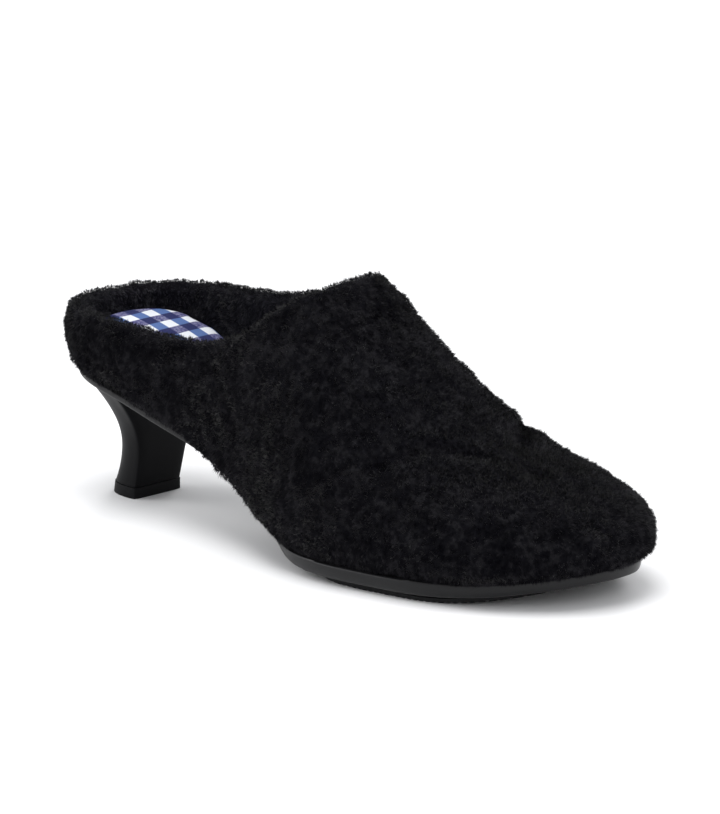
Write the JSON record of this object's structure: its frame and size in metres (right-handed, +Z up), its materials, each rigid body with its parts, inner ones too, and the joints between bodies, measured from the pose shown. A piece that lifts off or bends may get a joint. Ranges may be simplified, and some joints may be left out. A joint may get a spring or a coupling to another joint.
{
  "type": "mule shoe",
  "caption": "Backless right shoe of sheared pile with a closed almond toe and thick rolled collar, on a cupped sole with a small curved heel and a checked padded insole.",
  "frame": {"origin": "under the middle of the shoe's bounding box, on the floor it stands on", "axes": "+X from heel to toe, +Y to the wearer's left, the inner side of this right shoe, +Z up"},
  "size_m": [0.255, 0.0992, 0.0967],
  "materials": {
    "pile": "dense sheared pile, near black",
    "insole_cloth": "blue and white gingham cloth",
    "sole": "semi-gloss black",
    "tread": "matt black",
    "heel": "satin black",
    "top_lift": "matt black"
  },
  "bodies": {
    "root": {"upper": "pile", "insole": "insole_cloth", "sole": "sole", "tread": "tread", "heel": "heel", "top_lift": "top_lift"}
  },
  "joints": []
}
